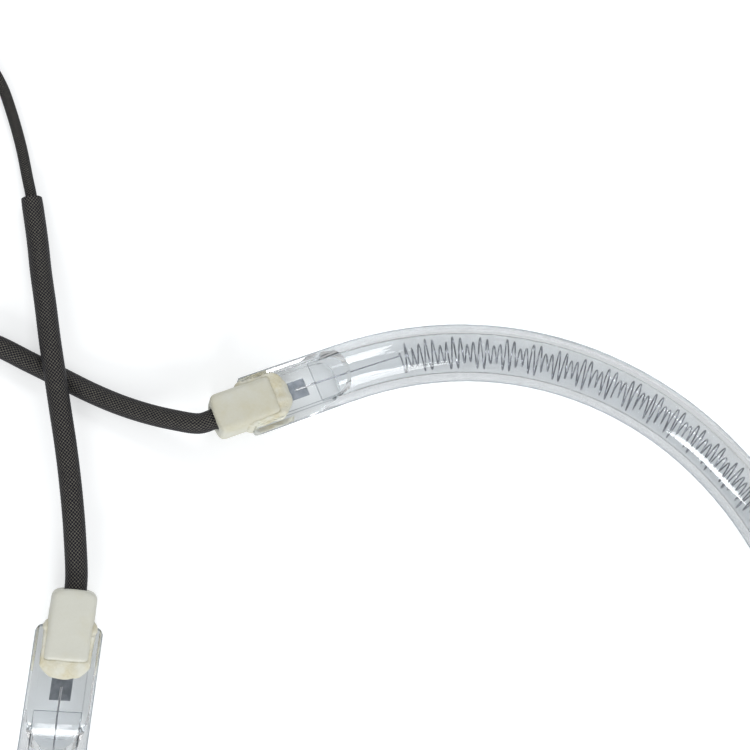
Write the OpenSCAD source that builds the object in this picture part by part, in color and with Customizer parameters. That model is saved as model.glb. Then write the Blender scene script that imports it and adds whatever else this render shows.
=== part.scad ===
// Ring-shaped quartz heating tube with two pinch seals, ceramic end caps and sleeved leads.
// The ring lies flat on the XY plane, its centre is the origin and its gap faces -X.

/* [Glass ring] */
// Diameter of the ring, measured along the middle of the tube
ring_d = 140; // [136:1:144]
// Outer diameter of the glass tube
tube_d = 10; // [8.5:0.1:11]
// Wall of the glass tube
tube_wall = 1.5; // [1:0.1:1.8]
// Angle that the ring leaves open between its two straight ends
gap_angle = 63; // [60:1:66]
// Diameter of the sealed pumping tip
tip_d = 2.6; // [2:0.1:3.2]
// How far the pumping tip stands out of the glass
tip_l = 2.2; // [1.4:0.1:3]

/* [Pinch seals] */
// Length of each flat pinch
pinch_l = 12; // [10.5:0.1:14]
// Thickness of the flat web between the beads
web_t = 2.4; // [2.2:0.1:3]
// Width of each edge bead
bead_w = 1.5; // [1:0.1:1.7]
// Height of each edge bead
bead_h = 4.4; // [3.6:0.1:5]
// Radius on the pinch's outer corners
pinch_corner = 1.1; // [0.5:0.1:1.5]
// Length over which the round tube flattens into the pinch
shoulder_l = 5.5; // [4.5:0.1:8]
// Angle by which the pinch of end a is turned about its own axis
roll_a = 10; // [0:1:15]
// Angle by which the pinch of end b is turned about its own axis
roll_b = 0; // [0:1:15]

/* [Heating coil] */
// Diameter of the tungsten wire
wire_d = 0.3; // [0.24:0.01:0.4]
// Longer axis of the oval coil, over the wire
coil_long = 6; // [4.5:0.1:6.4]
// Shorter axis of the oval coil, over the wire
coil_short = 3; // [2.4:0.1:4]
// Distance from one turn to the next
coil_pitch = 1.25; // [1.15:0.01:1.8]
// Angle by which the oval turns from one turn of wire to the next
coil_twist = 45; // [30:1:60]
// Distance along the tube from the straight end to the first turn
leg_l = 10.5; // [3:0.5:24]

/* [Foils and pins] */
// Length of the molybdenum foil
foil_l = 7.6; // [6:0.1:8]
// Width of the foil
foil_w = 3.1; // [2.4:0.1:4]
// Thickness of the foil
foil_t = 0.1; // [0.08:0.01:0.12]
// Distance from the start of the pinch to the foil
foil_y = 1.2; // [0.8:0.1:2.6]
// Overlap of each weld between foil and wire
weld_l = 2; // [1.2:0.1:2.4]
// Diameter of the outer pin
pin_d = 0.8; // [0.6:0.05:0.9]
// How far the outer pin stands out of the pinch
pin_out = 2.1; // [1.8:0.1:2.4]

/* [Ceramic caps] */
// Width of the cap
cap_w = 6.6; // [6.2:0.1:6.8]
// Height of the cap
cap_h = 6.4; // [5.8:0.1:7.2]
// How far the fork of the cap reaches over the pinch
cap_over = 4.7; // [3.5:0.1:6]
// Solid head of the cap beyond the slot
cap_head = 5.3; // [5:0.1:7]
// Radius along the cap's long edges
cap_edge = 0.8; // [0.4:0.1:1.2]
// Radius on the cap's outer corners
cap_corner = 1.3; // [0.6:0.1:1.6]
// Gap left for cement between the fork and the web, on each side
cement_gap = 0.4; // [0.3:0.05:0.6]
// How far the cement runs out onto the web in front of the fork
cement_run = 2.7; // [1.5:0.1:3.5]
// Height of the cement bank above the middle of the web
cement_h = 2.8; // [2.4:0.1:2.8]

/* [Leads] */
// Diameter of the insulated lead
lead_d = 1.8; // [1.5:0.1:2]
// Diameter of the stranded conductor
core_d = 1; // [0.8:0.05:1.1]
// Outer diameter of the braided sleeve
sleeve_d = 3.4; // [3.2:0.1:3.6]
// Wall of the braided sleeve
sleeve_wall = 0.7; // [0.5:0.05:0.7]
// How deep the sleeve is pushed into the cap
sleeve_in = 1.4; // [1:0.1:1.6]
// Length of the crimp barrel inside the cap
crimp_l = 2.8; // [2.2:0.1:3]
// Outer diameter of the crimp barrel
crimp_d = 2; // [1.8:0.05:2.1]

/* [Terminals] */
// Diameter of the terminal's screw hole
eye_hole_d = 4.3; // [3.2:0.1:5.3]
// Outer diameter of the terminal's eye
eye_d = 8; // [7.4:0.1:10]
// Thickness of the terminal's sheet
eye_t = 0.8; // [0.6:0.05:1]
// Length of the terminal's barrel
barrel_l = 5; // [4:0.1:7]
// Outer diameter of the terminal's barrel
barrel_d = 3; // [2.8:0.1:3.2]
// Length of the neck between barrel and eye
neck_l = 2; // [1.5:0.1:4]

/* [Hidden] */
$fn = 64;

// Clearance kept between metal and the glass or cement that holds it
seal_fit = 0.02;
// Clearance of the crimp barrel, the lead and the sleeve in what they pass through
slip_fit = 0.1;
// Clearance around the crimp barrel in the cap
bore_fit = 0.3;

ring_r = ring_d / 2;
tube_r = tube_d / 2;
bore_r = tube_r - tube_wall;
end_angle = 180 - gap_angle / 2;
web_in = tube_r - bead_w;
slot_end = pinch_l + cement_gap;
cap_start = pinch_l - cap_over;
cap_end = slot_end + cap_head;
foil_z = -(pin_d + foil_t) / 2;
leg_z = foil_z + (foil_t + wire_d) / 2 + seal_fit;
leg_end = foil_y + weld_l;
crimp_y = slot_end + slip_fit * 4;
core_y = pinch_l + pin_out + slip_fit;
lead_y = crimp_y + crimp_l + slip_fit;
sleeve_y = cap_end - sleeve_in;
sleeve_bore = sleeve_d / 2 - sleeve_wall;

// How far each straight end laps into the round ring, and how far inside its skin
lap = 0.3;
lap_step = 0.02;
// Height of the cavity's narrow end, and its distance from the pinch
slit_h = 1;
slit_back = 0.4;

// How far the leg runs straight from the pinch into the tube
leg_bend = 1.6;
// Size of the oval where the coil's first turn starts, as a share of its full size
coil_open = 0.15;
// Radius of the cap's slightly arched head
head_arch = 10.5;
// Radius of the cement's round front, as a share of the web's half width between the beads
front_round = 1.2;
// Length and thickness of the cement's lip over the pinch's end
lip_l = 1.3;
lip_t = 0.3;

// Facets of the coil wire and the cords
coil_steps = 5;
coil_sides = 3;
cord_sides = 8;
sleeve_sides = 12;

// Route of lead a from just outside its cap to its terminal; the sleeve ends at sleeve_last_a
route_a = [
    [-73.2, 14.8, 4.7], [-76.4, 13, 4], [-80.4, 11.2, 3], [-84.9, 9.6, 2.2], [-89.8, 8.3, 1.7],
    [-95, 7.2, 1.7], [-100.2, 6.1, 1.7], [-105.4, 5, 1.7], [-110.6, 3.2, 1.7], [-115.4, 0.2, 1.7],
    [-118.8, -4.2, 1.7], [-120, -9.6, 1.7], [-119.2, -14.4, 1.7], [-117, -19, 1.1], [-114, -24, 0.9],
    [-111, -29, 0.9], [-108, -34, 0.9], [-105, -39, 0.9], [-102, -44, 0.9], [-99, -49, 0.9],
    [-96, -54, 0.9], [-93, -59, 1], [-90, -64, 1.3], [-88, -67.3, 1.5]
];
// Route of lead b, which passes over lead a
route_b = [
    [-73.3, -14.8, 5], [-76, -11.8, 5.1], [-79.2, -8.4, 5.2], [-83, -4.6, 5.2], [-87, -0.8, 5.2],
    [-91, 2.8, 5.3], [-95.2, 6.6, 5.3], [-99.4, 10.4, 5.1], [-103.6, 14.4, 4.1], [-107.8, 18.3, 2.9],
    [-112, 22.4, 2], [-116.9, 26.9, 1.7], [-119.8, 29.3, 1.3], [-123.8, 32.6, 0.9], [-128.4, 35.9, 0.9],
    [-133.2, 38.8, 0.9], [-138.4, 40.4, 0.9], [-143.8, 39.4, 0.9], [-148, 35.8, 0.9], [-150.2, 30.6, 0.9],
    [-150.6, 25, 0.9], [-150.4, 19.6, 0.9], [-150.2, 14.4, 1.2], [-150, 10.8, 1.5]
];
// Number of route points that each sleeve covers
sleeve_last_a = 13;
sleeve_last_b = 12;

function unit(v) = v / norm(v);

// A point given along the ring: angle, distance outwards from the tube's middle, height from it
function ring_point(angle, x, z) = [(ring_r + x) * cos(angle), (ring_r + x) * sin(angle), tube_r + z];

// A point of one end: x outwards, y along the end from the start of its pinch, z up
// side is 1 for end a and -1 for end b
function end_point(side, x, y, z) =
    let (roll = side > 0 ? roll_a : roll_b, c = cos(roll), s = sin(roll),
        xr = ring_r + x * c + z * s, yr = y + shoulder_l)
    [xr * cos(end_angle) - yr * sin(end_angle), side * (xr * sin(end_angle) + yr * cos(end_angle)),
     tube_r - x * s + z * c];

// Directions along a path, one for each of its points; two points may coincide where its radius steps
function headings(path) = [for (i = [0:len(path) - 1])
    let (last = len(path) - 1, a = max(i - 1, 0), b = min(i + 1, last),
        back = path[a] == path[i] ? max(a - 1, 0) : a,
        next = path[b] == path[i] ? min(b + 1, last) : b)
    unit(path[next] - path[back])];

// Rings of points around a path that stays well away from vertical
function cord_rings(path, radii, sides) =
    let (along = headings(path))
    [for (i = [0:len(path) - 1])
        let (side = unit(cross([0, 0, 1], along[i])), up = cross(along[i], side))
        for (k = [0:sides - 1])
            path[i] + radii[i] * (cos(360 * k / sides) * side + sin(360 * k / sides) * up)];

// Wall between rings that follow one another; first is the index of the first ring's first point
function wall(count, sides, first = 0) = [for (i = [0:count - 2], k = [0:sides - 1])
    let (a = first + i * sides + k, b = first + i * sides + (k + 1) % sides)
    each [[a, b, b + sides], [a, b + sides, a + sides]]];

function reversed(list) = [for (i = [len(list) - 1:-1:0]) list[i]];
function flipped(faces) = [for (f = faces) reversed(f)];
function cap_face(first, sides) = [for (k = [0:sides - 1]) first + k];

// Solid cord along a path, with one radius for each point
module cord(path, radii, sides) {
    n = len(path);
    polyhedron(points = cord_rings(path, radii, sides), convexity = 6,
        faces = flipped(concat(wall(n, sides), [reversed(cap_face(0, sides))],
            [cap_face((n - 1) * sides, sides)])));
}

// Hollow cord along a path
module hollow_cord(path, r_out, r_in, sides) {
    n = len(path);
    inner = n * sides;
    outer_pts = cord_rings(path, [for (p = path) r_out], sides);
    inner_pts = cord_rings(path, [for (p = path) r_in], sides);
    mouth = [for (k = [0:sides - 1]) let (j = (k + 1) % sides) [k, k + inner, j + inner, j]];
    last = (n - 1) * sides;
    far = [for (k = [0:sides - 1]) let (j = (k + 1) % sides)
        [last + k, last + j, last + j + inner, last + k + inner]];
    polyhedron(points = concat(outer_pts, inner_pts), convexity = 8,
        faces = flipped(concat(wall(n, sides), flipped(wall(n, sides, inner)), mouth, far)));
}

// Puts what is drawn for an end in its place; y runs out along the straight end
module at_end(side) {
    mirror([0, side > 0 ? 0 : 1, 0])
        rotate([0, 0, end_angle])
            translate([ring_r, shoulder_l, tube_r])
                rotate([0, side > 0 ? roll_a : roll_b, 0])
                    children();
}

// Cylinder along y
module rod(d, y0, y1, x = 0, z = 0) {
    translate([x, y0, z]) rotate([-90, 0, 0]) cylinder(d = d, h = y1 - y0);
}

module rounded_rect(w, h, r) {
    square([w - 2 * r, h], center = true);
    square([w, h - 2 * r], center = true);
    for (x = [-1, 1], y = [-1, 1])
        translate([x * (w / 2 - r), y * (h / 2 - r)]) circle(r = r);
}

// Radius of an arc that leaves a level line and climbs by rise within the shoulder's length
function ramp(rise) = (rise * rise + shoulder_l * shoulder_l) / (2 * rise);

// Space above and below a level, with a round ramp at the shoulder; half_w is its half width
module pressed(level, half_w) {
    r = ramp(tube_r - level);
    for (z = [0, 1]) mirror([0, 0, z]) translate([-half_w, 0, level]) {
        cube([2 * half_w, pinch_l + 1, tube_r]);
        translate([0, 0, r]) rotate([0, 90, 0]) cylinder(r = r, h = 2 * half_w);
    }
}

// Straight glass end: a round bar that the press has flattened, hollow up to the pinch
module glass_bar() {
    difference() {
        rod(2 * (tube_r - lap_step), -shoulder_l - lap, pinch_l);
        pressed(bead_h / 2, tube_d);
        pressed(web_t / 2, web_in);
        cavity();
    }
}

// Bore of the straight end, which closes to a slit before the pinch
module cavity() {
    r = ramp(bore_r - slit_h / 2);
    difference() {
        rod(2 * (bore_r + lap_step), -shoulder_l - lap - 1, -slit_back);
        for (z = [-1, 1])
            translate([-tube_r, 0, z * (slit_h / 2 + r)]) rotate([0, 90, 0]) cylinder(r = r, h = tube_d);
    }
}

// Straight end with the outer corners of its pinch rounded
module pinch() {
    intersection() {
        glass_bar();
        translate([0, 0, -tube_r]) linear_extrude(tube_d) {
            translate([-tube_r, -shoulder_l - 1]) square([tube_d, pinch_l + shoulder_l + 1 - pinch_corner]);
            translate([-(tube_r - pinch_corner), 0]) square([tube_d - 2 * pinch_corner, pinch_l]);
            for (x = [-1, 1])
                translate([x * (tube_r - pinch_corner), pinch_l - pinch_corner]) circle(r = pinch_corner);
        }
    }
}

// Round glass between the two straight ends
module round_glass() {
    rotate([0, 0, -end_angle]) translate([0, 0, tube_r])
        rotate_extrude(angle = 2 * end_angle, $fn = 180)
            translate([ring_r, 0]) difference() {
                circle(r = tube_r);
                circle(r = bore_r);
            }
}

// Melted-off tip where the tube was pumped out and filled
module pumping_tip() {
    root = tube_wall * 0.6;
    flare = root + tip_l * 0.3;
    taper = tip_l * 0.5;
    end_d = tip_d * 0.5;
    translate([ring_r - tube_r + root, 0, tube_r]) rotate([0, -90, 0]) {
        cylinder(d1 = tip_d * 1.3, d2 = tip_d, h = flare);
        translate([0, 0, flare]) cylinder(d1 = tip_d, d2 = end_d, h = taper);
        translate([0, 0, flare + taper - lap_step]) sphere(d = end_d - 2 * lap_step);
    }
}

module foil(grow = 0) {
    translate([-foil_w / 2 - grow, foil_y - grow, foil_z - foil_t / 2 - grow])
        cube([foil_w + 2 * grow, foil_l + 2 * grow, foil_t + 2 * grow]);
}

module pin(grow = 0) {
    rod(pin_d + 2 * grow, foil_y + foil_l - weld_l - grow, pinch_l + pin_out, z = seal_fit);
}

module leg_channel() {
    rod(wire_d + 2 * seal_fit, -slit_back - lap, leg_end + seal_fit, z = leg_z);
}

// Pinch with the spaces that its metal parts fill
module sealed_pinch() {
    difference() {
        pinch();
        foil(seal_fit);
        pin(seal_fit);
        leg_channel();
    }
}

module quartz_tube() {
    color([0.86, 0.9, 0.92, 0.5]) {
        round_glass();
        pumping_tip();
        at_end(1) sealed_pinch();
        at_end(-1) sealed_pinch();
    }
}

coil_start = end_angle - leg_l / ring_r * 180 / PI;
coil_turns = floor(2 * coil_start * PI / 180 * ring_r / coil_pitch);
coil_count = coil_turns * coil_steps;

// Middle of the wire at a number of turns from end a; the first and last half turns open out
function coil_point(turn) =
    let (grow = min(1, coil_open + 2 * turn, coil_open + 2 * (coil_turns - turn)),
        oval = coil_twist * turn, around = 360 * turn - oval,
        x = grow * (coil_long - wire_d) / 2 * cos(around),
        z = grow * (coil_short - wire_d) / 2 * sin(around))
    ring_point(coil_start * (1 - 2 * turn / coil_turns),
        x * cos(oval) - z * sin(oval), x * sin(oval) + z * cos(oval));

// Wire of the coil with its two straight legs, which end on the foils
module filament() {
    path = concat([end_point(1, 0, leg_end, leg_z), end_point(1, 0, -leg_bend, leg_z)],
        [for (i = [0:coil_count]) coil_point(i / coil_steps)],
        [end_point(-1, 0, -leg_bend, leg_z), end_point(-1, 0, leg_end, leg_z)]);
    along = headings(path);
    n = len(path);
    rings = [for (i = [0:n - 1])
        let (leg = i < 2 || i > n - 3, out = unit([path[i].x, path[i].y, 0]),
            ref = leg ? out : cross([0, 0, 1], out),
            u = unit(ref - (ref * along[i]) * along[i]), v = cross(along[i], u))
        for (k = [0:coil_sides - 1])
            path[i] + wire_d / 2 * (cos(360 * k / coil_sides) * u + sin(360 * k / coil_sides) * v)];
    color([0.3, 0.32, 0.35])
        polyhedron(points = rings, convexity = 10,
            faces = flipped(concat(wall(n, coil_sides), [reversed(cap_face(0, coil_sides))],
                [cap_face((n - 1) * coil_sides, coil_sides)])));
}

module seal_foil(side) {
    color([0.45, 0.47, 0.5]) at_end(side) foil();
}

module outer_pin(side) {
    color([0.6, 0.61, 0.62]) at_end(side) pin();
}

// Outline of the cap from above: square at the fork, rounded and slightly arched at the head
module cap_plan() {
    intersection() {
        union() {
            translate([-cap_w / 2, cap_start]) square([cap_w, cap_end - cap_corner - cap_start]);
            translate([0, (cap_start + cap_end) / 2])
                rounded_rect(cap_w, cap_end - cap_start, cap_corner);
        }
        translate([0, cap_end - head_arch]) circle(r = head_arch, $fn = 96);
    }
}

// Block of the cap without its slot and holes
module cap_block() {
    intersection() {
        translate([0, 0, -cap_h]) linear_extrude(2 * cap_h) cap_plan();
        translate([0, cap_start - 1, 0]) rotate([-90, 0, 0])
            linear_extrude(cap_end - cap_start + 2) rounded_rect(cap_w, cap_h, cap_edge);
    }
}

module cap_body() {
    difference() {
        cap_block();
        translate([-cap_w, cap_start - 1, -web_t / 2 - cement_gap])
            cube([2 * cap_w, slot_end - cap_start + 1, web_t + 2 * cement_gap]);
        rod(crimp_d + 2 * bore_fit, slot_end - 1, cap_end);
        rod(sleeve_d + 2 * slip_fit, sleeve_y - slip_fit, cap_end + 1);
    }
}

module ceramic_cap(side) {
    color([0.82, 0.83, 0.79]) at_end(side) cap_body();
}

// Side view of the cement on one face of the web, from the thin front to the back of the pinch
function cement_bank() = concat(
    [for (t = [0:15:90]) [cap_start - cement_run * cos(t), web_t / 2 + (cement_h - web_t / 2) * sin(t)]],
    [[pinch_l, bead_h / 2 + lip_t], [pinch_l + lip_l + lap, web_t / 2 + cement_gap + lip_t / 2]]);

// Cement seen from above: between the beads, with a sloping lip over the pinch's end
module cement_plan() {
    front = cap_start - cement_run;
    round_r = web_in * front_round;
    lip_out = tube_r - pinch_corner - lip_t / 2;
    lip_in = cap_w / 2 - lip_t;
    translate([-web_in, front + web_in]) square([2 * web_in, pinch_l - front - web_in]);
    intersection() {
        translate([0, front + round_r]) circle(r = round_r, $fn = 48);
        translate([-web_in, front]) square([2 * web_in, 2 * web_in]);
    }
    polygon([[-lip_out, pinch_l - lap], [lip_out, pinch_l - lap], [lip_out, pinch_l + lip_t],
        [lip_in, pinch_l + lip_l], [-lip_in, pinch_l + lip_l], [-lip_out, pinch_l + lip_t]]);
}

module cement_body() {
    bank = cement_bank();
    difference() {
        intersection() {
            translate([0, 0, -cement_h]) linear_extrude(2 * cement_h) cement_plan();
            translate([-tube_d, 0, 0]) rotate([90, 0, 90]) linear_extrude(2 * tube_d)
                polygon(concat(bank, reversed([for (p = bank) [p[0], -p[1]]])));
        }
        pinch();
        cap_body();
        rod(crimp_d + 2 * bore_fit, slot_end, cap_end);
        rod(pin_d + 2 * seal_fit, 0, cap_end, z = seal_fit);
    }
}

module cement(side) {
    color([0.86, 0.83, 0.7]) at_end(side) cement_body();
}

module crimp_barrel(side) {
    color([0.72, 0.71, 0.68]) at_end(side) difference() {
        rod(crimp_d, crimp_y, crimp_y + crimp_l);
        rod(core_d + 2 * slip_fit, crimp_y - 1, crimp_y + crimp_l + 1);
    }
}

function route(side) = side > 0 ? route_a : route_b;
function end_run(side, y) = end_point(side, 0, y, 0);

// Direction in which the lead leaves its last route point
function lead_heading(side) = let (r = route(side), n = len(r), d = r[n - 1] - r[n - 2]) unit([d.x, d.y, 0]);

// The conductor is bare in the crimp barrel and in the terminal, and insulated between them
module lead(side) {
    r = route(side);
    last = r[len(r) - 1];
    path = concat([end_run(side, core_y), end_run(side, lead_y), end_run(side, lead_y), end_run(side, cap_end)],
        r, [last, last + lead_heading(side) * barrel_l]);
    radii = concat([core_d, core_d, lead_d, lead_d] / 2, [for (p = r) lead_d / 2], [core_d, core_d] / 2);
    color([0.2, 0.2, 0.19]) cord(path, radii, cord_sides);
}

module braid_sleeve(side) {
    r = route(side);
    count = side > 0 ? sleeve_last_a : sleeve_last_b;
    path = concat([end_run(side, sleeve_y), end_run(side, cap_end)], [for (i = [0:count - 1]) r[i]]);
    color([0.24, 0.24, 0.22]) hollow_cord(path, sleeve_d / 2, sleeve_bore, sleeve_sides);
}

// Flat eye on a short neck with a crimped barrel, lying on its underside; x runs out from the lead
module terminal_body() {
    eye_x = barrel_l + neck_l + eye_d / 2;
    difference() {
        union() {
            translate([0, 0, barrel_d / 2]) rotate([0, 90, 0]) cylinder(d = barrel_d, h = barrel_l);
            translate([0, -barrel_d / 2, 0]) cube([barrel_l, barrel_d, barrel_d / 2]);
            translate([barrel_l / 2, -barrel_d / 2, 0]) cube([eye_x - barrel_l / 2, barrel_d, eye_t]);
            translate([eye_x, 0, 0]) cylinder(d = eye_d, h = eye_t);
        }
        translate([-1, 0, barrel_d / 2]) rotate([0, 90, 0])
            cylinder(d = core_d + 2 * slip_fit, h = barrel_l + 2);
        translate([eye_x, 0, -1]) cylinder(d = eye_hole_d, h = eye_t + 2);
    }
}

module ring_terminal(side) {
    r = route(side);
    last = r[len(r) - 1];
    d = lead_heading(side);
    color([0.75, 0.74, 0.7])
        translate([last.x, last.y, 0]) rotate([0, 0, atan2(d.y, d.x)])
            translate([slip_fit, 0, 0]) terminal_body();
}

quartz_tube();
filament();
seal_foil(1);  // seal_foil_a
seal_foil(-1);  // seal_foil_b
outer_pin(1);  // outer_pin_a
outer_pin(-1);  // outer_pin_b
ceramic_cap(1);  // ceramic_cap_a
ceramic_cap(-1);  // ceramic_cap_b
cement(1);  // cement_a
cement(-1);  // cement_b
crimp_barrel(1);  // crimp_barrel_a
crimp_barrel(-1);  // crimp_barrel_b
lead(1);  // lead_a
lead(-1);  // lead_b
braid_sleeve(1);  // braid_sleeve_a
braid_sleeve(-1);  // braid_sleeve_b
ring_terminal(1);  // ring_terminal_a
ring_terminal(-1);  // ring_terminal_b
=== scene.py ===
import math

import bmesh
import bpy
from mathutils import Matrix, Vector, noise


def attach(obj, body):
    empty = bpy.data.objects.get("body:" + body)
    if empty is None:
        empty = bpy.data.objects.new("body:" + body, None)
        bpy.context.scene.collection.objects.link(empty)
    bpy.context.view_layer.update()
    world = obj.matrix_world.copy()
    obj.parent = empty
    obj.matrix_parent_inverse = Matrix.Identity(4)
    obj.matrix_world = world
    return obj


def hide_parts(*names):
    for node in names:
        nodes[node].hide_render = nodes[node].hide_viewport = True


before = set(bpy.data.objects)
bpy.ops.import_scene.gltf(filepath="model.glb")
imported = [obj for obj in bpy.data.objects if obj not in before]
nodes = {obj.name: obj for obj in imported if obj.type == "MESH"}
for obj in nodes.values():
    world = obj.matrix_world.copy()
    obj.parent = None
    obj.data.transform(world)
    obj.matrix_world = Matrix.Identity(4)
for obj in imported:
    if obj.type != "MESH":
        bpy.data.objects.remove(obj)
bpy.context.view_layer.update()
scene = bpy.context.scene

# camera

cameraValues = {
    "lookAt": (-0.054404, 0.041591, 0.0),  # point of the floor in the middle of the picture
    "distance": 0.183248,
    "azimuth": -25.525,
    "elevation": 71.671,
    "roll": 64.103,
    "lens": 50.0,
    "sensor": 36.0,
    "nearest": 0.01,
}


def placeCamera(values):
    azimuth, elevation, roll = (math.radians(values[name]) for name in ("azimuth", "elevation", "roll"))
    back = Vector((math.sin(azimuth) * math.cos(elevation), -math.cos(azimuth) * math.cos(elevation), math.sin(elevation)))
    level = Vector((0, 0, 1)).cross(back).normalized()
    upright = back.cross(level)
    right = level * math.cos(roll) + upright * math.sin(roll)
    up = back.cross(right)
    data = bpy.data.cameras.new("photoCamera")
    data.lens = values["lens"]
    data.sensor_width = values["sensor"]
    data.clip_start = values["nearest"]
    camera = bpy.data.objects.new("photoCamera", data)
    turned = Matrix((right, up, back)).transposed().to_4x4()
    camera.matrix_world = Matrix.Translation(Vector(values["lookAt"]) + back * values["distance"]) @ turned
    scene.collection.objects.link(camera)
    scene.camera = camera


placeCamera(cameraValues)
print("camera placed")

# where the ends of the ring are

ringValues = {
    "radius": 0.070,
    "tubeRadius": 0.005,
    "gapAngle": 63.0,
    "shoulder": 0.0055,  # straight glass between the round ring and the pinch
    "capEnd": 0.0177,  # the cap's head, from the start of the pinch
    "pinchEnd": 0.012,
    "rollA": 10.0,
    "rollB": 0.0,
}
endAngle = 180 - ringValues["gapAngle"] / 2


def endFrame(side):  # x outwards, y along the end from the start of its pinch, z up; side is 1 for end a, -1 for b
    roll = ringValues["rollA"] if side > 0 else ringValues["rollB"]
    place = Matrix.Translation((ringValues["radius"], ringValues["shoulder"], ringValues["tubeRadius"]))
    return (Matrix.Diagonal((1, side, 1, 1)) @ Matrix.Rotation(math.radians(endAngle), 4, "Z") @ place
            @ Matrix.Rotation(math.radians(roll), 4, "Y"))


def ringPoint(angle, x, z):
    along = math.radians(angle)
    radius = ringValues["radius"] + x
    return Vector((radius * math.cos(along), radius * math.sin(along), ringValues["tubeRadius"] + z))


# shared effects

def newGroup(name, inputs, outputs):
    group = bpy.data.node_groups.new(name, "ShaderNodeTree")
    for label, kind, value in inputs:
        socket = group.interface.new_socket(label, in_out="INPUT", socket_type=kind)
        if value is not None:
            socket.default_value = value
    for label, kind in outputs:
        group.interface.new_socket(label, in_out="OUTPUT", socket_type=kind)
    return group, group.nodes.new("NodeGroupInput"), group.nodes.new("NodeGroupOutput")


def mathNode(tree, operation, first, second=None, third=None):
    node = tree.nodes.new("ShaderNodeMath")
    node.operation = operation
    for slot, value in enumerate((first, second, third)):
        if value is None:
            continue
        if isinstance(value, (int, float)):
            node.inputs[slot].default_value = value
        else:
            tree.links.new(value, node.inputs[slot])
    return node.outputs[0]


def mixColours(tree, factor, first, second):
    node = tree.nodes.new("ShaderNodeMix")
    node.data_type = "RGBA"
    for slot, value in ((0, factor), (6, first), (7, second)):
        if isinstance(value, (int, float)):
            node.inputs[slot].default_value = value
        elif isinstance(value, tuple):
            node.inputs[slot].default_value = (*value, 1)
        else:
            tree.links.new(value, node.inputs[slot])
    return node.outputs[2]


def noiseNode(tree, vector, scale, detail=3.0, roughness=0.5):
    node = tree.nodes.new("ShaderNodeTexNoise")
    node.inputs["Scale"].default_value = scale
    node.inputs["Detail"].default_value = detail
    node.inputs["Roughness"].default_value = roughness
    tree.links.new(vector, node.inputs["Vector"])
    return node.outputs["Fac"]


def rangeNode(tree, value, low, high, toLow=0.0, toHigh=1.0):
    node = tree.nodes.new("ShaderNodeMapRange")
    tree.links.new(value, node.inputs["Value"])
    for label, number in (("From Min", low), ("From Max", high), ("To Min", toLow), ("To Max", toHigh)):
        node.inputs[label].default_value = number
    return node.outputs["Result"]


def buildMottleGroup():  # soft stains over a fine grain
    group, start, end = newGroup(
        "mottledGrain",
        [("Vector", "NodeSocketVector", None), ("Stain Scale", "NodeSocketFloat", 300.0), ("Grain Scale", "NodeSocketFloat", 3000.0)],
        [("Stain", "NodeSocketFloat"), ("Grain", "NodeSocketFloat")])
    for label, scaleName, detail, low, high in (("Stain", "Stain Scale", 3.0, 0.38, 0.68), ("Grain", "Grain Scale", 4.0, 0.3, 0.7)):
        texture = group.nodes.new("ShaderNodeTexNoise")
        texture.inputs["Detail"].default_value = detail
        group.links.new(start.outputs["Vector"], texture.inputs["Vector"])
        group.links.new(start.outputs[scaleName], texture.inputs["Scale"])
        group.links.new(rangeNode(group, texture.outputs["Fac"], low, high), end.inputs[label])
    return group


def buildBraidGroup():  # two sets of crossing strands, over and under each other; one unit is one strand
    group, start, end = newGroup(
        "crossedBraid", [("Vector", "NodeSocketVector", None), ("Fullness", "NodeSocketFloat", 1.0)],
        [("Strand", "NodeSocketFloat"), ("Turn", "NodeSocketFloat"), ("Gap", "NodeSocketFloat")])
    split = group.nodes.new("ShaderNodeSeparateXYZ")
    group.links.new(start.outputs["Vector"], split.inputs[0])
    first = mathNode(group, "ADD", split.outputs[0], split.outputs[1])
    second = mathNode(group, "SUBTRACT", split.outputs[0], split.outputs[1])
    parity = mathNode(group, "PINGPONG", mathNode(group, "ADD", mathNode(group, "FLOOR", first), mathNode(group, "FLOOR", second)), 1.0)
    ridges = []
    for value in (first, second):
        centred = mathNode(group, "SUBTRACT", mathNode(group, "FRACT", value), 0.5)
        ridges.append(mathNode(group, "COSINE", mathNode(group, "MULTIPLY", centred, math.pi * 0.94)))
    across = mathNode(group, "MULTIPLY", ridges[0], parity)
    other = mathNode(group, "MULTIPLY", ridges[1], mathNode(group, "SUBTRACT", 1.0, parity))
    along = mathNode(group, "MULTIPLY", ridges[1], parity)
    alongOther = mathNode(group, "MULTIPLY", ridges[0], mathNode(group, "SUBTRACT", 1.0, parity))
    rise = mathNode(group, "POWER", mathNode(group, "ADD", across, other), start.outputs["Fullness"])
    bend = mathNode(group, "MULTIPLY_ADD", mathNode(group, "ADD", along, alongOther), 0.55, 0.45)
    strand = mathNode(group, "MULTIPLY", rise, bend)
    group.links.new(strand, end.inputs["Strand"])
    group.links.new(parity, end.inputs["Turn"])
    group.links.new(rangeNode(group, strand, 0.58, 0.24), end.inputs["Gap"])
    return group


mottleGroup = buildMottleGroup()
braidGroup = buildBraidGroup()


def newMaterial(name, **settings):
    material = bpy.data.materials.new(name)
    material.use_nodes = True
    shader = material.node_tree.nodes["Principled BSDF"]
    for label, value in settings.items():
        socket = shader.inputs[label.replace("_", " ")]
        socket.default_value = (*value, 1) if isinstance(value, tuple) and len(value) == 3 else value
    return material, material.node_tree, shader


def objectCoordinates(tree):
    return tree.nodes.new("ShaderNodeTexCoord").outputs["Object"]


def addGroup(tree, group, vector, **settings):
    node = tree.nodes.new("ShaderNodeGroup")
    node.node_tree = group
    tree.links.new(vector, node.inputs["Vector"])
    for label, value in settings.items():
        node.inputs[label.replace("_", " ")].default_value = value
    return node


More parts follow.
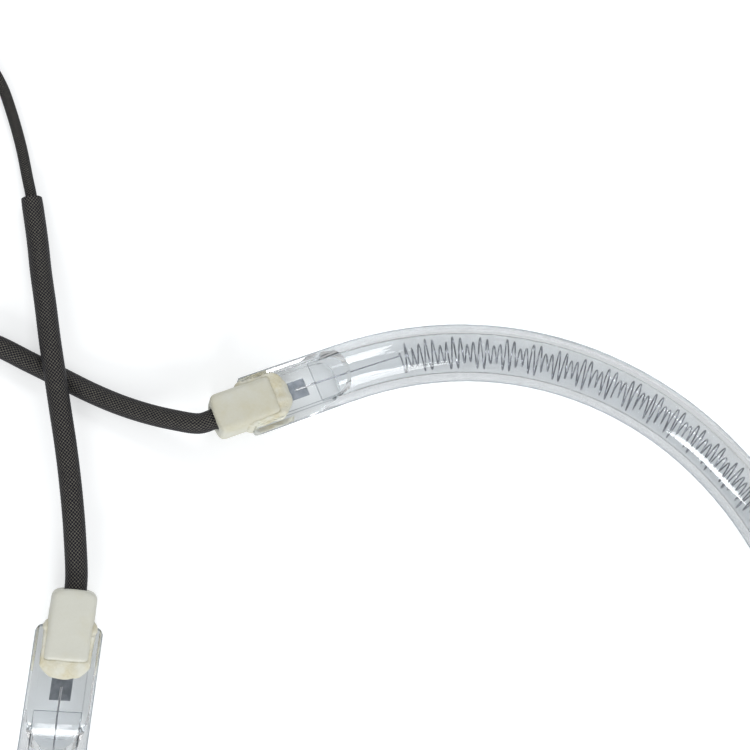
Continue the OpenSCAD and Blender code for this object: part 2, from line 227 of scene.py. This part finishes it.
def addBump(tree, shader, height, strength, distance):
    bump = tree.nodes.new("ShaderNodeBump")
    bump.inputs["Strength"].default_value = strength
    bump.inputs["Distance"].default_value = distance
    tree.links.new(height, bump.inputs["Height"])
    tree.links.new(bump.outputs["Normal"], shader.inputs["Normal"])
    return bump


def dress(obj, material):
    obj.data.materials.clear()
    obj.data.materials.append(material)


# braided sleeves and leads

leadValues = {
    "diameter": 0.0018,
    "smoothness": 5,  # points made between two route points
    "around": 24,
    "cellsAround": 20,
    "cell": 0.00021,
    "length": {"a": 0.128, "b": 0.128},
}
sleeveValues = {
    "diameter": 0.0034,
    "wall": 0.0006,
    "depth": 0.0014,  # how far it is pushed into the cap
    "cellsAround": 40,
    "pointsPerCell": 2,
    "cell": 0.00029,
    "relief": 0.00006,
    "lastPoint": {"a": 13, "b": 12},
}
routes = {
    "a": [
        (-0.0732, 0.0148, 0.0047), (-0.0764, 0.013, 0.004), (-0.0804, 0.0112, 0.003), (-0.0849, 0.0096, 0.0022),
        (-0.0898, 0.0083, 0.0017), (-0.095, 0.0072, 0.0017), (-0.1002, 0.0061, 0.0017), (-0.1054, 0.005, 0.0017),
        (-0.1106, 0.0032, 0.0017), (-0.1154, 0.0002, 0.0017), (-0.1188, -0.0042, 0.0017), (-0.12, -0.0096, 0.0017),
        (-0.1192, -0.0144, 0.0017), (-0.117, -0.019, 0.0011), (-0.114, -0.024, 0.0009), (-0.111, -0.029, 0.0009),
        (-0.108, -0.034, 0.0009), (-0.105, -0.039, 0.0009), (-0.102, -0.044, 0.0009), (-0.099, -0.049, 0.0009),
        (-0.096, -0.054, 0.0009), (-0.093, -0.059, 0.001), (-0.09, -0.064, 0.0013), (-0.088, -0.0673, 0.0015),
    ],
    "b": [
        (-0.0733, -0.0148, 0.005), (-0.076, -0.0118, 0.0051), (-0.0792, -0.0084, 0.0052), (-0.083, -0.0046, 0.0052),
        (-0.087, -0.0008, 0.0052), (-0.091, 0.0028, 0.0053), (-0.0952, 0.0066, 0.0053), (-0.0994, 0.0104, 0.0051),
        (-0.1036, 0.0144, 0.0041), (-0.1078, 0.0183, 0.0029), (-0.112, 0.0224, 0.002), (-0.1169, 0.0269, 0.0017),
        (-0.1198, 0.0293, 0.0013), (-0.1238, 0.0326, 0.0009), (-0.1284, 0.0359, 0.0009), (-0.1332, 0.0388, 0.0009),
        (-0.1384, 0.0404, 0.0009), (-0.1438, 0.0394, 0.0009), (-0.148, 0.0358, 0.0009), (-0.1502, 0.0306, 0.0009),
        (-0.1506, 0.025, 0.0009), (-0.1504, 0.0196, 0.0009), (-0.1502, 0.0144, 0.0012), (-0.15, 0.0108, 0.0015),
    ],
}


def smoothPath(points, steps):  # a smooth line through all the points
    points = [Vector(p) for p in points]
    line = []
    for i in range(len(points) - 1):
        before, here, there, after = points[max(i - 1, 0)], points[i], points[i + 1], points[min(i + 2, len(points) - 1)]
        for k in range(steps):
            t = k / steps
            line.append(0.5 * (2 * here + (there - before) * t + (2 * before - 5 * here + 4 * there - after) * t ** 2
                               + (3 * here - before - 3 * there + after) * t ** 3))
    line.append(points[-1])
    return line


def pathLength(path):
    return sum((q - p).length for p, q in zip(path, path[1:]))


def evenPath(path, count):  # the same line in equal steps
    step = pathLength(path) / count
    line, run, place = [path[0].copy()], 0.0, 0
    for k in range(1, count):
        while run + (path[place + 1] - path[place]).length < k * step:
            run += (path[place + 1] - path[place]).length
            place += 1
        piece = path[place + 1] - path[place]
        line.append(path[place] + piece * ((k * step - run) / piece.length))
    line.append(path[-1].copy())
    return line


def strandHeight(u, v):
    first, second = u + v, u - v
    ridges = [math.cos(math.pi * 0.94 * (value % 1 - 0.5)) for value in (first, second)]
    over, under = ridges if (math.floor(first) + math.floor(second)) % 2 else ridges[::-1]
    return over * (0.45 + 0.55 * under)


def wrapGrid(name, path, radius, around, cellsAround, cell, relief):  # a grid rolled round a path, with strands standing out
    count = len(path) - 1
    grid = bmesh.new()
    layer = grid.loops.layers.uv.new("strands")
    bmesh.ops.create_grid(grid, x_segments=count, y_segments=around, size=0.5)
    long = pathLength(path)
    places = {}
    for vert in grid.verts:
        i, turn = round((vert.co.x + 0.5) * count), vert.co.y + 0.5
        places[vert] = (i, turn)
    for face in grid.faces:
        for loop in face.loops:
            i, turn = places[loop.vert]
            loop[layer].uv = (i / count * long / cell, turn * cellsAround)
    for vert, (i, turn) in places.items():
        along = (path[min(i + 1, count)] - path[max(i - 1, 0)]).normalized()
        side = Vector((0, 0, 1)).cross(along).normalized()
        up = along.cross(side)
        u, v = i / count * long / cell, turn * cellsAround
        fade = min(1, i / 8, (count - i) / 8)
        reach = radius - relief * (1 - fade * strandHeight(u / 2, v / 2)) if relief else radius
        vert.co = path[i] + reach * (math.cos(turn * math.tau) * side + math.sin(turn * math.tau) * up)
    bmesh.ops.remove_doubles(grid, verts=grid.verts, dist=1e-7)
    bmesh.ops.reverse_faces(grid, faces=grid.faces)
    mesh = bpy.data.meshes.new(name)
    grid.to_mesh(mesh)
    grid.free()
    mesh.shade_smooth()
    obj = bpy.data.objects.new(name, mesh)
    scene.collection.objects.link(obj)
    return obj


def closeEnds(obj):
    shape = bmesh.new()
    shape.from_mesh(obj.data)
    bmesh.ops.holes_fill(shape, edges=[edge for edge in shape.edges if edge.is_boundary], sides=0)
    bmesh.ops.recalc_face_normals(shape, faces=shape.faces)
    shape.to_mesh(obj.data)
    shape.free()


def makeBraidMaterial(name, dark, pale, thread, fullness, roughness):
    material, tree, shader = newMaterial(name, Roughness=roughness, Specular_IOR_Level=0.1)
    scaled = tree.nodes.new("ShaderNodeVectorMath")
    scaled.operation = "SCALE"
    scaled.inputs["Scale"].default_value = 0.5
    tree.links.new(tree.nodes.new("ShaderNodeTexCoord").outputs["UV"], scaled.inputs[0])
    braid = addGroup(tree, braidGroup, scaled.outputs[0], Fullness=fullness)
    grain = addGroup(tree, mottleGroup, objectCoordinates(tree), Stain_Scale=260.0, Grain_Scale=5200.0)
    strands = mixColours(tree, grain.outputs["Grain"], dark, pale)
    # painted shade: the thread lines are dimmed to 0.4 towards the sides that turn away from the view, and also dimmed
    # at random by the grain as real wear of the threads
    facing = tree.nodes.new("ShaderNodeLayerWeight").outputs["Facing"]
    sideShadeAndWear = mathNode(tree, "MULTIPLY", rangeNode(tree, facing, 0.1, 0.6, 1.0, 0.4), rangeNode(tree, grain.outputs["Grain"], 0.1, 0.9, 0.45, 1.0))
    lines = mathNode(tree, "MULTIPLY", braid.outputs["Gap"], sideShadeAndWear)
    tree.links.new(mixColours(tree, lines, strands, thread), shader.inputs["Base Color"])
    height = mathNode(tree, "MULTIPLY_ADD", grain.outputs["Grain"], 0.18, braid.outputs["Strand"])
    addBump(tree, shader, height, 0.55, 0.00008)
    return material


sleeveMaterial = makeBraidMaterial("wovenGlassSleeve", (0.004, 0.004, 0.009), (0.014, 0.014, 0.021), (0.19, 0.182, 0.148), 1.0, 0.42)
leadMaterial = makeBraidMaterial("wovenLeadCover", (0.005, 0.005, 0.009), (0.017, 0.017, 0.021), (0.15, 0.144, 0.118), 1.0, 0.5)


def makeLeads():
    for key, side in (("a", 1), ("b", -1)):
        place = endFrame(side)
        inner = [place @ Vector((0, y, 0)) for y in (0.0155, ringValues["capEnd"])]
        route = smoothPath(inner + [Vector(p) for p in routes[key]], leadValues["smoothness"])
        count = round(pathLength(route) / leadValues["cell"] / 2)
        path = evenPath(route, count)
        lead = wrapGrid(f"leadCover{key.upper()}", path, leadValues["diameter"] / 2, leadValues["around"], leadValues["cellsAround"],
                        leadValues["cell"], 0)
        closeEnds(lead)
        dress(lead, leadMaterial)
        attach(lead, "root")
        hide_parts(f"lead_{key}")
        start = place @ Vector((0, ringValues["capEnd"] - sleeveValues["depth"], 0))
        head = place @ Vector((0, ringValues["capEnd"], 0))
        covered = smoothPath([start, head] + routes[key][:sleeveValues["lastPoint"][key]], 5)
        cells = round(pathLength(covered) / sleeveValues["cell"])
        count = cells * sleeveValues["pointsPerCell"]
        sleeve = wrapGrid(f"braidedSleeve{key.upper()}", evenPath(covered, count), sleeveValues["diameter"] / 2,
                          sleeveValues["cellsAround"] * sleeveValues["pointsPerCell"], sleeveValues["cellsAround"],
                          sleeveValues["cell"], sleeveValues["relief"])
        wall = sleeve.modifiers.new("wall", "SOLIDIFY")
        wall.thickness = sleeveValues["wall"]
        wall.offset = -1
        dress(sleeve, sleeveMaterial)
        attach(sleeve, "root")
        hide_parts(f"braid_sleeve_{key}")
        print("lead", key, "length", round(pathLength(path), 4), "sleeve", round(pathLength(covered), 4))


makeLeads()
print("leads and sleeves made")

# heating coil

coilValues = {
    "wire": 0.00027,
    "long": 0.006,
    "short": 0.003,
    "pitch": 0.00125,
    "twist": 45.0,
    "leg": 0.0105,
    "stepsPerTurn": 20,
    "opening": 0.15,
    "lean": 0.4,  # how far the turns lean along the tube, for each metre of height
    "waver": 0.0002,  # how far single turns stand out of line
    "legEnd": 0.0032,
    "legBend": -0.0016,
    "legHeight": -0.00023,
}


def makeCoil(values):
    start = endAngle - math.degrees(values["leg"] / ringValues["radius"])
    turns = math.floor(2 * math.radians(start) * ringValues["radius"] / values["pitch"])
    points = [endFrame(1) @ Vector((0, y, values["legHeight"])) for y in (values["legEnd"], values["legBend"])]
    for i in range(turns * values["stepsPerTurn"] + 1):
        turn = i / values["stepsPerTurn"]
        grow = min(1, values["opening"] + 2 * turn, values["opening"] + 2 * (turns - turn))
        oval = math.radians(values["twist"] * turn)
        around = math.tau * turn - oval
        x = grow * (values["long"] - values["wire"]) / 2 * math.cos(around)
        z = grow * (values["short"] - values["wire"]) / 2 * math.sin(around)
        swell = 1.0 + 0.07 * noise.noise(Vector((turn * 0.9, 8.3, 0)))
        across, height = (x * math.cos(oval) - z * math.sin(oval)) * swell, (x * math.sin(oval) + z * math.cos(oval)) * swell
        shift = values["lean"] * height + values["waver"] * noise.noise(Vector((turn * 1.7, 3.1, 0))) * grow
        angle = start * (1 - 2 * turn / turns) + math.degrees(shift / ringValues["radius"])
        points.append(ringPoint(angle, across, height))
    points += [endFrame(-1) @ Vector((0, y, values["legHeight"])) for y in (values["legBend"], values["legEnd"])]
    curve = bpy.data.curves.new("heatingCoil", "CURVE")
    curve.dimensions = "3D"
    curve.bevel_depth = values["wire"] / 2
    curve.bevel_resolution = 1
    curve.use_fill_caps = True
    spline = curve.splines.new("POLY")
    spline.points.add(len(points) - 1)
    for point, place in zip(spline.points, points):
        point.co = (*place, 1)
    coil = bpy.data.objects.new("heatingCoil", curve)
    scene.collection.objects.link(coil)
    coil.data.materials.append(makeTungstenMaterial())
    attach(coil, "root")
    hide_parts("filament")


def makeTungstenMaterial():
    material, tree, shader = newMaterial("drawnTungsten", Metallic=1.0, Roughness=0.25)
    grain = addGroup(tree, mottleGroup, objectCoordinates(tree), Stain_Scale=420.0, Grain_Scale=9000.0)
    tree.links.new(mixColours(tree, grain.outputs["Stain"], (0.17, 0.18, 0.21), (0.46, 0.48, 0.52)), shader.inputs["Base Color"])
    tree.links.new(rangeNode(tree, grain.outputs["Grain"], 0.0, 1.0, 0.18, 0.36), shader.inputs["Roughness"])
    return material


makeCoil(coilValues)
print("coil made")

# glass

glassValues = {
    "colour": (0.978, 0.986, 0.99),
    "edge": (0.50, 0.53, 0.55),  # painted shade: the grey of the thin dark outline drawn where the tube turns edge-on
    "bend": 1.458,  # refractive index of fused quartz
    "paintedOutline": (0.62, 0.84),  # where the painted outline starts and where it is full, from 0 (facing) to 1 (edge on)
    "shade": (0.93, 0.94, 0.95),
    "deepest": 5,  # light that goes back and forth in the glass more often than this leaves it straight
}


def makeGlassMaterial(values):
    material, tree, shader = newMaterial("fusedQuartz", Base_Color=values["colour"], Roughness=0.0, IOR=values["bend"],
                                         Transmission_Weight=1.0)
    ripple = noiseNode(tree, objectCoordinates(tree), 120.0, 1.0)
    addBump(tree, shader, ripple, 0.03, 0.0002)
    # painted shade: towards the edge-on outline the glass is swapped for a grey transparent shader, which draws a dark
    # outline round the tube
    facing = tree.nodes.new("ShaderNodeLayerWeight").outputs["Facing"]
    paintedOutline = rangeNode(tree, facing, *values["paintedOutline"])
    light = tree.nodes.new("ShaderNodeLightPath")
    deep = mathNode(tree, "GREATER_THAN", light.outputs["Ray Depth"], values["deepest"])
    straight = mathNode(tree, "MAXIMUM", light.outputs["Is Shadow Ray"], deep)
    passing = mathNode(tree, "MAXIMUM", straight, paintedOutline)
    clear = tree.nodes.new("ShaderNodeBsdfTransparent")
    tree.links.new(mixColours(tree, paintedOutline, values["shade"], values["edge"]), clear.inputs["Color"])
    mix = tree.nodes.new("ShaderNodeMixShader")
    output = tree.nodes["Material Output"]
    tree.links.new(passing, mix.inputs[0])
    tree.links.new(shader.outputs[0], mix.inputs[1])
    tree.links.new(clear.outputs[0], mix.inputs[2])
    tree.links.new(mix.outputs[0], output.inputs["Surface"])
    return material




def mergedCopy(node, name):  # a copy of a CAD piece with its faces joined up
    shape = bmesh.new()
    shape.from_mesh(nodes[node].data)
    bmesh.ops.remove_doubles(shape, verts=shape.verts, dist=1e-6)
    mesh = bpy.data.meshes.new(name)
    shape.to_mesh(mesh)
    shape.free()
    copy = bpy.data.objects.new(name, mesh)
    scene.collection.objects.link(copy)
    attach(copy, "root")
    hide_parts(node)
    return copy


dress(nodes["quartz_tube"], makeGlassMaterial(glassValues))
print("glass dressed")

# seals, caps and terminals


def makeFoilMaterial():
    material, tree, shader = newMaterial("rolledMolybdenum", Metallic=1.0, Roughness=0.38)
    grain = addGroup(tree, mottleGroup, objectCoordinates(tree), Stain_Scale=900.0, Grain_Scale=6000.0)
    tree.links.new(mixColours(tree, grain.outputs["Stain"], (0.16, 0.18, 0.205), (0.26, 0.285, 0.32)), shader.inputs["Base Color"])
    addBump(tree, shader, grain.outputs["Grain"], 0.2, 0.00003)
    return material


def makeSteelMaterial(name, first, second, roughness):
    material, tree, shader = newMaterial(name, Metallic=1.0, Roughness=roughness)
    grain = addGroup(tree, mottleGroup, objectCoordinates(tree), Stain_Scale=500.0, Grain_Scale=4000.0)
    tree.links.new(mixColours(tree, grain.outputs["Stain"], first, second), shader.inputs["Base Color"])
    tree.links.new(rangeNode(tree, grain.outputs["Grain"], 0.0, 1.0, roughness - 0.08, roughness + 0.12), shader.inputs["Roughness"])
    addBump(tree, shader, grain.outputs["Grain"], 0.15, 0.00003)
    return material


def makeCeramicMaterial():
    material, tree, shader = newMaterial("pressedCeramic", Roughness=0.5, Specular_IOR_Level=0.45)
    grain = addGroup(tree, mottleGroup, objectCoordinates(tree), Stain_Scale=190.0, Grain_Scale=2600.0)
    base = mixColours(tree, grain.outputs["Stain"], (0.62, 0.625, 0.555), (0.58, 0.56, 0.43))
    tree.links.new(mixColours(tree, mathNode(tree, "MULTIPLY", grain.outputs["Grain"], 0.25), base, (0.67, 0.68, 0.63)), shader.inputs["Base Color"])
    tree.links.new(rangeNode(tree, grain.outputs["Stain"], 0.0, 1.0, 0.42, 0.6), shader.inputs["Roughness"])
    addBump(tree, shader, grain.outputs["Grain"], 0.25, 0.00005)
    return material


def makeCementMaterial():
    material, tree, shader = newMaterial("driedCement", Roughness=0.85, Specular_IOR_Level=0.2)
    grain = addGroup(tree, mottleGroup, objectCoordinates(tree), Stain_Scale=420.0, Grain_Scale=3600.0)
    base = mixColours(tree, grain.outputs["Stain"], (0.70, 0.70, 0.61), (0.61, 0.56, 0.38))
    tree.links.new(mixColours(tree, mathNode(tree, "MULTIPLY", grain.outputs["Grain"], 0.35), base, (0.74, 0.73, 0.65)), shader.inputs["Base Color"])
    addBump(tree, shader, grain.outputs["Grain"], 0.5, 0.0001)
    return material


capValues = {
    "voxel": 0.00013,
    "rounds": 60,  # how often the pressed edges are softened
    "swell": 0.0001,
    "lump": 0.00008,
    "lumpScale": 420.0,
    "pit": 0.000012,
    "pitScale": 3000.0,
}
cementValues = {
    "voxel": 0.00012,
    "rounds": 6,
    "swell": 0.0002,  # how far it stands out against the cap that it holds
    "lump": 0.00022,
    "lumpScale": 620.0,
    "pit": 0.00005,
    "pitScale": 2600.0,
}


def softenNode(node, name, values):  # a copy of a CAD piece with soft edges and an uneven skin
    soft = mergedCopy(node, name)
    remesh = soft.modifiers.new("even", "REMESH")
    remesh.mode = "VOXEL"
    remesh.voxel_size = values["voxel"]
    even = bpy.data.meshes.new_from_object(soft.evaluated_get(bpy.context.evaluated_depsgraph_get()))
    soft.modifiers.clear()
    shape = bmesh.new()
    shape.from_mesh(even)
    for step in range(values["rounds"]):
        bmesh.ops.smooth_vert(shape, verts=shape.verts, factor=0.5, use_axis_x=True, use_axis_y=True, use_axis_z=True)
    shape.normal_update()
    for vert in shape.verts:
        out = values["swell"] + values["lump"] * noise.noise(vert.co * values["lumpScale"])
        out += values["pit"] * noise.noise(vert.co * values["pitScale"])
        vert.co += vert.normal * out
    shape.to_mesh(soft.data)
    shape.free()
    soft.data.shade_smooth()
    return soft


ceramicMaterial, cementMaterial = makeCeramicMaterial(), makeCementMaterial()
for key in ("a", "b"):
    dress(softenNode(f"ceramic_cap_{key}", f"pressedCap{key.upper()}", capValues), ceramicMaterial)
    dress(softenNode(f"cement_{key}", f"cementFill{key.upper()}", cementValues), cementMaterial)
finishes = {
    "seal_foil": makeFoilMaterial(),
    "outer_pin": makeSteelMaterial("groundPin", (0.42, 0.42, 0.43), (0.56, 0.56, 0.56), 0.3),
    "crimp_barrel": makeSteelMaterial("nickelCrimp", (0.52, 0.5, 0.47), (0.66, 0.64, 0.6), 0.28),
    "ring_terminal": makeSteelMaterial("tinnedTerminal", (0.42, 0.42, 0.40), (0.55, 0.54, 0.52), 0.34),
}
for part, finish in finishes.items():
    for key in ("a", "b"):
        dress(nodes[f"{part}_{key}"], finish)
print("seals, caps and terminals dressed")

# floor, lamps and room

studioValues = {
    "floor": (0.64, 0.66, 0.672),
    "floorSize": 3.0,
    "whiten": 0.5,  # added where the floor is seen directly or mirrored
    "whitenThrough": 0.02,  # added where it is seen through glass
    "room": (1.0, 1.0, 1.0),
    "roomStrength": 0.55,
    "lamps": [  # place, size, power
        ((-0.45, 0.53, 0.57), 0.26, 2.0),
        ((0.34, -0.72, 0.42), 0.24, 4.0),
        ((0.74, -0.1, 0.5), 0.24, 1.3),
    ],
}


def makeStudio(values):
    bottom = bmesh.new()
    bmesh.ops.create_grid(bottom, x_segments=1, y_segments=1, size=values["floorSize"])
    mesh = bpy.data.meshes.new("studioFloor")
    bottom.to_mesh(mesh)
    bottom.free()
    floor = bpy.data.objects.new("studioFloor", mesh)
    scene.collection.objects.link(floor)
    floor.data.transform(Matrix.Translation((0, 0, -0.00005)))
    material, tree, shader = newMaterial("paperFloor", Base_Color=values["floor"], Roughness=0.9, Specular_IOR_Level=0.1)
    light = tree.nodes.new("ShaderNodeLightPath")
    seen = mathNode(tree, "MAXIMUM", light.outputs["Is Camera Ray"], light.outputs["Is Glossy Ray"])
    glow = tree.nodes.new("ShaderNodeEmission")
    level = rangeNode(tree, light.outputs["Is Transmission Ray"], 0.0, 1.0, values["whiten"], values["whitenThrough"])
    tree.links.new(mathNode(tree, "MULTIPLY", seen, level), glow.inputs["Strength"])
    add = tree.nodes.new("ShaderNodeAddShader")
    tree.links.new(shader.outputs[0], add.inputs[0])
    tree.links.new(glow.outputs[0], add.inputs[1])
    tree.links.new(add.outputs[0], tree.nodes["Material Output"].inputs["Surface"])
    dress(floor, material)
    world = bpy.data.worlds.new("studioRoom")
    scene.world = world
    world.use_nodes = True
    sky = world.node_tree.nodes["Background"]
    sky.inputs["Color"].default_value = (*values["room"], 1)
    direct = world.node_tree.nodes.new("ShaderNodeLightPath").outputs["Is Camera Ray"]
    world.node_tree.links.new(rangeNode(world.node_tree, direct, 0.0, 1.0, values["roomStrength"], 1.0), sky.inputs["Strength"])
    for number, (place, size, power) in enumerate(values["lamps"], 1):
        lamp = bpy.data.lights.new(f"softLamp{number}", "AREA")
        lamp.size = size
        lamp.energy = power
        obj = bpy.data.objects.new(lamp.name, lamp)
        obj.location = place
        obj.rotation_euler = (Vector((-0.05, 0.03, 0)) - Vector(place)).to_track_quat("-Z", "Y").to_euler()
        scene.collection.objects.link(obj)


makeStudio(studioValues)
scene.view_settings.view_transform = "Standard"
print("studio made")
